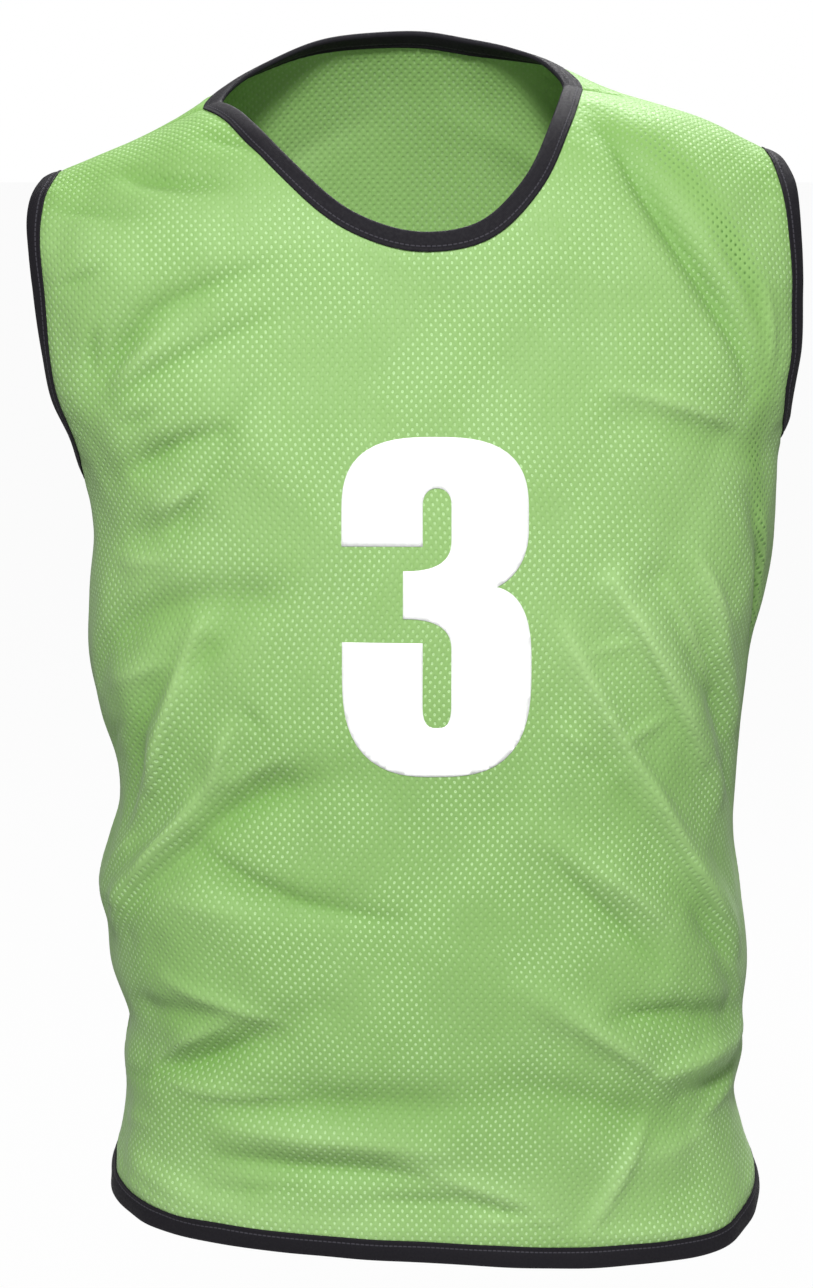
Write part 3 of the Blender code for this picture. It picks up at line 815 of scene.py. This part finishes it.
def awayFrom(side, points, others):
    # how far each point is from the nearest of the others, along the cloth
    near = smoothCloth(side, *others.T)
    spots = smoothCloth(side, *points.T)
    return np.concatenate([
        np.linalg.norm(part[:, None] - near, axis=-1).min(axis=1)
        for part in np.array_split(spots, 1 + len(spots) // 800)
    ])


def crestPoints(side):
    # points along the crest and the flanks of each thin crease, so that it stays crisp
    found = np.empty((0, 2))
    for turnA, dropA, turnB, dropB, halfWidth, _, bow in creases:
        if halfWidth > knit["thinCrease"]:
            continue
        along = np.array(((turnB - turnA) * body["girthPerDegree"], dropB - dropA), float)
        length = math.hypot(*along)
        along /= length
        run = np.linspace(0, 1, max(2, round(length * mm / knit["crestSpacing"])))
        for flank in (0, -knit["flank"], knit["flank"]):
            off = flank * halfWidth + bow * 4 * run * (1 - run)
            turn = turnA + (run * length * along[0] + off * along[1]) / body["girthPerDegree"]
            drop = dropA + run * length * along[1] - off * along[0]
            line = np.column_stack((turnOf(side, turn), drop))
            if len(found):
                line = line[awayFrom(side, line, found) > knit["crestApart"] * knit["crestSpacing"]]
            found = np.concatenate((found, line))
    return found


def panelOutline(side):
    # the cut edges under the tapes, and the whole outline with the seams
    edges = {}
    for key in edgeTables:
        curve = edgeCurve(key, side, knit["edgeSpacing"])
        edges[key] = clearOfSeams(side, movedIn(key, side, curve, knit["edgeUnderTape"]))
    neck, left, right, hem = edges.values()
    outline = clearOfSeams(side, np.concatenate((
        neck, seamPoints(side, neck[-1], right[0]), right, seamPoints(side, right[-1], hem[-1]),
        hem[::-1], seamPoints(side, hem[0], left[-1]), left[::-1], seamPoints(side, left[0], neck[0]),
    )))
    return edges, outline


def panelNet(side, outline):
    # points along the thin creases and in even rows, and the faces between them
    turn = np.linspace(-90, 90, 721)
    girth = lengthAlong(smoothCloth(side, turn, np.full_like(turn, 400.0)))
    grid = []
    drops = np.arange(body["seamDrop"], 720, knit["spacing"] / mm * math.sqrt(0.75))
    for row, drop in enumerate(drops):
        across = np.arange(knit["spacing"] / 2 * (row % 2), girth[-1], knit["spacing"])
        grid.append(np.column_stack((np.interp(across, girth, turn), np.full_like(across, drop))))
    grid = np.concatenate(grid)
    apart = knit["apart"] * knit["spacing"]
    crests = crestPoints(side)
    crests = crests[insideOf(outline, crests)]
    crests = crests[awayFrom(side, crests, outline) > apart]
    grid = grid[insideOf(outline, grid)]
    grid = grid[awayFrom(side, grid, np.concatenate((outline, crests))) > apart]
    spots = np.concatenate((outline, crests, grid))
    laid = np.column_stack((np.interp(spots[:, 0], turn, girth), -spots[:, 1] * mm))
    faces = facesOf(laid, len(outline), 1e-7)
    return spots, faces if side > 0 else [face[::-1] for face in faces]


def rounded(away, height, middle, halfWidth):
    return height * np.exp(-((away - middle) / halfWidth) ** 2)


def sewnLift(side, spots, edges):
    # how far the sewing lifts the cloth, and how far away the nearest seam is, in millimetres
    sizes = sizesOf(side, spots) / mm
    toSide = (90 - np.abs(spots[:, 0])) * sizes[:, 0]
    toShoulder = (spots[:, 1] - body["seamDrop"]) * sizes[:, 1]
    lift = np.zeros(len(spots))
    # The sewn seams sit a little lower, with a soft roll beside them
    dip, dipWidth = knit["seamDip"]
    for away in (toSide, toShoulder):
        lift += rounded(away, *knit["seamRoll"]) - rounded(away, dip, 0, dipWidth)
    # Small puckers run into the tapes, and the cloth rolls a little beside them
    height, length, reach = knit["pucker"]
    for key, edge in edges.items():
        line = smoothCloth(side, *edge.T)
        run = lengthAlong(line) / mm
        covered = tapeWidths[key] - knit["edgeUnderTape"] / mm
        for part in np.array_split(np.arange(len(spots)), 40):
            far = np.linalg.norm(smoothCloth(side, *spots[part].T)[:, None] - line, axis=-1)
            away = far.min(axis=1) / mm - covered
            place = run[far.argmin(axis=1)]
            wave = np.sin(place * 2 * math.pi / length + 1.7 * np.sin(place / 31))
            wave *= 0.6 + 0.4 * np.sin(place / 23)
            roll = rounded(away, *knit["hemRoll" if key == "hem" else "tapeRoll"])
            lift[part] += ease(away, -1, 6) * (rounded(away, height, 0, reach) * wave + roll)
    toSeam = np.minimum(toSide, toShoulder)
    still = ease(toSeam, 0, 12)
    return lift * still + (1 - still) * np.minimum(lift, 0), toSeam


def makePanel(name, side, look):
    edges, outline = panelOutline(side)
    spots, faces = panelNet(side, outline)
    lift, toSeam = sewnLift(side, spots, edges)
    angle, drop = spots.T
    points = cloth(side, angle, drop) + outward(cloth, side, angle, drop) * lift[:, None] * mm
    flat = Pattern(side).flat(angle, drop)
    panel = addSheet(name, points, faces, knit["thickness"], look, "knit", flat)
    # What the material reads: the eyelets' painted light and shade, the depth of the green, and the painted
    # highlight and shade of the creases
    turn = turnOf(side, angle)
    fold = foldHeight(turn, drop, folds)
    # the eyelets' painted shade, a little lighter where the large folds stand out
    shade = foldHeight(turn, drop, eyeletShading) if side < 0 else knit["backShade"]
    faint = foldHeight(turn, drop, eyeletFaint) if side < 0 else knit["backFaint"]
    shade = np.clip(shade - 0.05 * fold, 0, 1)
    # relief: painted highlight on the crests and painted shade in the hollows; deep: painted shade round
    # the waist, darker over the shoulders
    relief = foldHeight(turn, drop, creases, body["creaseShape"]) + knit["foldShare"] * fold
    relief = relief / knit["reliefOfFullTint"]
    deep = knit["shoulderDepth"] * ease(-drop, -80, 10)
    deep = deep + knit["waistShade"] * ease(drop, 300, 400) * (1 - ease(drop, 610, 670))
    for field, values in (
        ("shade", shade),
        ("clear", np.clip(1 - faint, 0.12, 1) * ease(toSeam, 3, 14)),
        # darker green over the shoulders, and painted shade that follows the eyelets' shade
        ("deep", np.clip(0.55 * ease(-drop, -60, 30) + 0.5 * shade, 0, 1)),
        ("crest", knit["tint"] * np.clip(relief, 0, 1)),
        ("hollow", knit["tint"] * np.clip(-relief, 0, 1) + deep),
    ):
        setField(panel, field, values)
    return panel


frontKnit = makePanel("frontKnit", -1, knitMaterial("frontKnit"))
print("front panel:", len(frontKnit.data.vertices), "points")
backKnit = makePanel("backKnit", 1, knitMaterial("backKnit"))
print("back panel:", len(backKnit.data.vertices), "points")

tape = {
    "thickness": 0.55 * mm,
    "spacing": 3.0 * mm,
    "foldRadius": 1.45 * mm,
    "rib": 0.9,                   # millimetres, as the three below
    "threadWidth": 0.7,
    "stitchFromBorder": 2.0,
    "stitchLength": 2.9,
    "black": (0.0105, 0.0095, 0.0125, 1),
    "worn": (0.030, 0.029, 0.036, 1),
    "thread": (0.045, 0.043, 0.052, 1),
    "roughness": (0.62, 0.80),
    "sheen": (0.02, 0.4),         # weight, roughness
    "gloss": 0.14,
}
# One half of the folded tape, from its border on the cloth to its fold
tapeSection = (
    # share of the width, height over the cloth mm
    (0.00, 0.95), (0.05, 1.15), (0.12, 1.22), (0.19, 0.98), (0.26, 1.25), (0.36, 1.52), (0.50, 1.66),
    (0.64, 1.70), (0.78, 1.66), (0.90, 1.55), (1.00, 1.45),
)
tapeFold = (
    # degrees round the fold, place across the tape mm
    (35, 0.8), (65, 0.4), (90, 0.0), (115, -0.4), (145, -0.8),
)


def tapeMaterial(name, width):
    look, tree, shader = newMaterial(name)
    spot = mapOf(tree, "tape")
    split = separated(tree, spot)
    along, across = split["X"], split["Y"]
    # Ribs across the tape, with fine threads along it
    ribs = sums(tree, "SINE", sums(tree, "MULTIPLY", along, 2 * math.pi / tape["rib"]))
    threads = sums(tree, "SINE", sums(tree, "MULTIPLY", across, 2 * math.pi / tape["threadWidth"]))
    weave = sums(tree, "ADD", sums(tree, "MULTIPLY", ribs, 0.65), sums(tree, "MULTIPLY", threads, 0.35))
    # A row of lockstitches beside each border
    fromMiddle = sums(tree, "ABSOLUTE", across)
    row = sums(tree, "SUBTRACT", fromMiddle, width / mm - tape["stitchFromBorder"])
    inRow = between(tree, sums(tree, "ABSOLUTE", row), 0.22, 0.5, 1.0, 0.0)
    beat = sums(tree, "FRACT", sums(tree, "DIVIDE", along, tape["stitchLength"]))
    beat = sums(tree, "ABSOLUTE", sums(tree, "SUBTRACT", beat, 0.5))
    stitch = sums(tree, "MULTIPLY", inRow, between(tree, beat, 0.34, 0.44, 1.0, 0.0))
    dust = between(tree, clouds(tree, spot, 0.9, 4.0, 0.7), 0.62, 0.78, 0.0, 0.6)
    wear = between(tree, fromMiddle, 0.0, 2.2, 0.55, 0.0)
    worn = sums(tree, "MAXIMUM", dust, sums(tree, "MULTIPLY", wear, clouds(tree, spot, 0.15, 3.0)))
    color = mixed(tree, worn, tape["black"], tape["worn"])
    sunk = sums(tree, "SUBTRACT", sums(tree, "MULTIPLY", stitch, 1.3), inRow)
    sheen, sheenRoughness = tape["sheen"]
    feedAll(
        tree, shader, Base_Color=mixed(tree, stitch, color, tape["thread"]),
        Roughness=between(tree, clouds(tree, spot, 0.5, 2.0), 0.3, 0.7, *tape["roughness"]),
        Normal=bumped(tree, sunk, 0.7, 0.25 * mm, bumped(tree, weave, 0.5, 0.12 * mm)),
        Sheen_Weight=sheen, Sheen_Roughness=sheenRoughness, Specular_IOR_Level=tape["gloss"],
    )
    return look


def closedRing(key, inward):
    # the row of points that lies this far in from the edge, round front and back
    rows, outs = [], []
    for side in (-1, 1):
        curve = edgeCurve(key, side, tape["spacing"])
        moved = movedIn(key, side, curve, inward)
        moved[:, 0] = np.clip(moved[:, 0], -90, 90)
        moved[:, 1] = np.maximum(moved[:, 1], body["seamDrop"])
        rows.append(cloth(side, *moved.T))
        outs.append(outward(cloth, side, *moved.T))
    joined = []
    for ahead, behind in (rows, outs):
        met = (ahead[[0, -1]] + behind[[0, -1]]) / 2
        joined.append(np.concatenate((met[:1], ahead[1:-1], met[1:], behind[-2:0:-1])))
    joined[1] /= np.linalg.norm(joined[1], axis=1, keepdims=True)
    return joined


def makeTape(name, key, width, look):
    edge, edgeOut = closedRing(key, 0.0)
    beyond = edge - closedRing(key, width)[0]
    beyond /= np.linalg.norm(beyond, axis=1, keepdims=True)
    count = len(edge)
    run = lengthAlong(np.concatenate((edge, edge[:1]))) / mm
    place = run[:-1]
    # The border waves a little where the stitches pull it
    ripple = 0.12 * np.sin(place * math.pi / tape["stitchLength"]) + 0.16 * np.sin(place / 9.0)
    rows, under, across = [], [], []
    for share, height in tapeSection:
        points, out = closedRing(key, width * (1 - share))
        lift = out * np.reshape(height + ripple * (1 - share) * 0.6, (-1, 1)) * mm
        rows.append(points + lift)
        under.append(points - lift)
        across.append(width / mm * (1 - share) + 1.2)
    behind = [-value for value in across[::-1]]
    for bend, value in tapeFold:
        reach, rise = math.sin(math.radians(bend)), math.cos(math.radians(bend))
        rows.append(edge + (beyond * reach + edgeOut * rise) * tape["foldRadius"])
        across.append(value)
    rows += under[::-1]
    across += behind
    faces, places = [], []
    for line in range(len(rows) - 1):
        low, high = across[line], across[line + 1]
        for spot in range(count):
            here, after = line * count + spot, line * count + (spot + 1) % count
            faces.append((here, after, after + count, here + count))
            places += [(run[spot], low), (run[spot + 1], low), (run[spot + 1], high), (run[spot], high)]
    made = addSheet(name, np.concatenate(rows), faces, tape["thickness"], look, "tape", places)
    return made, run[-1] * mm


tapeLengths = {}
tapes = {}
for key, width in tapeWidths.items():
    name = key + "Tape"
    tapes[name], tapeLengths[name] = makeTape(name, key, width * mm, tapeMaterial(name, width * mm))
    print(name, "is", round(tapeLengths[name], 3), "m round")

# The number is a thin white film on the front. Its sizes are millimetres, across
# from its left side and down from its top.
number = {
    "leftSide": -38.4,           # where it lies, across from the middle of the neck
    "topDrop": 193.5,
    "thickness": 0.16 * mm,
    "overCloth": 0.62 * mm,
    "spacing": 3.0,
    "perDegree": 3.7,            # about how far across the cloth one degree is
    "white": (0.86, 0.87, 0.86, 1),
    "soiled": (0.74, 0.77, 0.72, 1),
    "arcSteps": 16,
}
# Its outline in order, as oval arcs with full corners; a corner has no width
numberArcs = (
    # middle across, middle down, half width, half height, fullness, from, to degrees from the top
    (55.1, 44.6, 55.1, 44.6, 2.8, -90, 0),
    (55.1, 44.6, 55.7, 44.6, 2.8, 5, 90),
    (82.6, 56.1, 28.2, 34.4, 2.0, 90, 161),
    (76.7, 138.6, 36.0, 51.5, 3.0, 27, 90),
    (56.2, 139.2, 56.5, 63.9, 2.8, 93, 180),
    (56.2, 139.2, 56.2, 63.9, 2.8, 185, 270),
    (0.0, 121.7, 0, 0, 2, 0, 0),
    (48.0, 121.7, 0, 0, 2, 0, 0),
    (56.5, 157.9, 8.5, 15.1, 3.0, 270, 90),
    (36.3, 126.6, 28.7, 19.2, 2.6, 90, 0),
    (36.3, 60.3, 28.7, 18.7, 2.6, 180, 90),
    (56.5, 39.8, 8.5, 9.7, 2.2, 90, -90),
    (48.0, 64.5, 0, 0, 2, 0, 0),
    (0.0, 64.5, 0, 0, 2, 0, 0),
)


def numberOutline():
    line = []
    for across, down, halfWidth, halfHeight, fullness, start, end in numberArcs:
        turns = np.radians(np.linspace(start, end, number["arcSteps"] if halfWidth else 1))
        x, y = np.sin(turns), -np.cos(turns)
        size = (np.abs(x) ** fullness + np.abs(y) ** fullness) ** (-1 / fullness)
        line.append(np.column_stack((across + halfWidth * x * size, down + halfHeight * y * size)))
    return np.concatenate(line)


def numberMaterial():
    look, tree, shader = newMaterial("whiteFilm")
    spot = mapOf(tree, "knit")
    net = placed(tree, eyelets, Vector=spot, **netSizes)
    yarn = placed(tree, loops, Vector=spot, **loopSizes)
    marks = between(tree, clouds(tree, spot, 0.05, 4.0, 0.6), 0.55, 0.8, 0.0, 0.35)
    fine = bumped(tree, yarn["Height"], 0.12, 0.06 * mm)
    feedAll(
        tree, shader, Base_Color=mixed(tree, marks, number["white"], number["soiled"]),
        Roughness=between(tree, clouds(tree, spot, 0.3, 2.0), 0.3, 0.7, 0.42, 0.58),
        Normal=bumped(tree, net["Height"], 0.35, 0.15 * mm, fine),
    )
    return look


def makeNumber(name, look):
    gap = number["spacing"]
    outline = numberOutline()
    dense = []
    for start, end in zip(outline, np.roll(outline, -1, axis=0)):
        steps = max(1, round(np.linalg.norm(end - start) / gap))
        dense += [start + (end - start) * step / steps for step in range(steps)]
    dense = np.array(dense)
    width, height = dense.max(axis=0)
    across, down = np.meshgrid(np.arange(0, width, gap), np.arange(0, height, gap))
    grid = np.column_stack((across.ravel(), down.ravel()))
    grid = grid[insideOf(dense, grid)]
    grid = grid[np.linalg.norm(grid[:, None] - dense, axis=-1).min(axis=1) > 0.5 * gap]
    spots = np.concatenate((dense, grid))
    across = spots[:, 0] + number["leftSide"]
    drop = spots[:, 1] + number["topDrop"]
    # The angle at which the cloth is this far across
    angle = across / number["perDegree"]
    for _ in range(12):
        angle = angle + (across - smoothCloth(-1, angle, drop)[:, 0] / mm) / number["perDegree"]
    points = cloth(-1, angle, drop) + outward(cloth, -1, angle, drop) * number["overCloth"]
    faces = facesOf(spots, len(dense), 1e-6)
    flat = Pattern(-1).flat(angle, drop)
    return addSheet(name, points, faces, number["thickness"], look, "knit", flat)


numberThree = makeNumber("numberThree", numberMaterial())
print("number:", len(numberThree.data.vertices), "points")

# Each piece rides on the one body and takes the place of its solid
for piece, node, slotName in (
    (frontKnit, "front_panel", "front_knit"),
    (backKnit, "back_panel", "back_knit"),
    (tapes["neckTape"], "neck_binding", "binding"),
    (tapes["leftArmholeTape"], "armhole_binding_left", "binding"),
    (tapes["rightArmholeTape"], "armhole_binding_right", "binding"),
    (tapes["hemTape"], "hem_binding", "binding"),
):
    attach(piece, "root")
    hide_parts(node)
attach(numberThree, "root")

print("pieces ride on the body")

# Pale floor, soft studio light and a camera at the photograph's angle
white = (1, 1, 1, 1)
studio = {
    "floorHeight": -1.05,
    "floorHalf": 30.0,
    "floorColor": (0.42, 0.42, 0.42, 1),
    "floorGlow": 0.96,
    "surround": 0.15,
    "backdrop": 1.0,
    "lightsAim": (0, 0, -0.33),
}
floorMesh = bpy.data.meshes.new("floor")
half = studio["floorHalf"]
corners = [(-half, -half, 0), (half, -half, 0), (half, half, 0), (-half, half, 0)]
floorMesh.from_pydata(corners, [], [(0, 1, 2, 3)])
floor = bpy.data.objects.new("floor", floorMesh)
floor.location = (0, 0, studio["floorHeight"])
scene.collection.objects.link(floor)
floorLook, tree, shader = newMaterial("paleFloor")
feedAll(tree, shader, Base_Color=studio["floorColor"], Roughness=0.9)
bright = feedAll(tree, tree.nodes.new("ShaderNodeEmission"), Strength=studio["backdrop"])
path = tree.nodes.new("ShaderNodeLightPath")
shown = sums(tree, "MULTIPLY", path.outputs["Is Camera Ray"], studio["floorGlow"])
showMixed(tree, "Material Output", shown, shader.outputs[0], bright.outputs[0])
floorMesh.materials.append(floorLook)

world = bpy.data.worlds.new("studio")
scene.world = world
world.use_nodes = True
tree = world.node_tree
ambient = feedAll(tree, tree.nodes["Background"], Color=white, Strength=studio["surround"])
seen = tree.nodes.new("ShaderNodeBackground")
feedAll(tree, seen, Color=white, Strength=studio["backdrop"])
path = tree.nodes.new("ShaderNodeLightPath")
showMixed(tree, "World Output", path.outputs["Is Camera Ray"], ambient.outputs[0], seen.outputs[0])

for name, place, size, power in (
    ("keyLight", (-0.25, -4.50, 3.60), 1.1, 425),
    ("fillLight", (0.30, -3.20, 0.20), 1.4, 10),
    ("backLight", (0.5, 1.8, 2.1), 1.2, 125),
):
    lamp = bpy.data.lights.new(name, "AREA")
    lamp.energy = power
    lamp.size = size
    holder = bpy.data.objects.new(name, lamp)
    holder.location = place
    aim = Vector(studio["lightsAim"]) - Vector(place)
    holder.rotation_euler = aim.to_track_quat("-Z", "Y").to_euler()
    scene.collection.objects.link(holder)

view = {
    "place": (0.0, -2.05, 0.02),
    "pitch": 9.9,                # degrees down
    "focalPixels": 3290.0,
    "pictureWidth": 813,         # pixels
}
lens = bpy.data.cameras.new("camera")
lens.sensor_fit = "HORIZONTAL"
lens.sensor_width = 36.0
lens.lens = view["focalPixels"] / view["pictureWidth"] * lens.sensor_width
camera = bpy.data.objects.new("camera", lens)
camera.location = view["place"]
camera.rotation_euler = (math.radians(90 - view["pitch"]), 0, 0)
scene.collection.objects.link(camera)
scene.camera = camera
scene.view_settings.view_transform = "Standard"
print("studio ready")
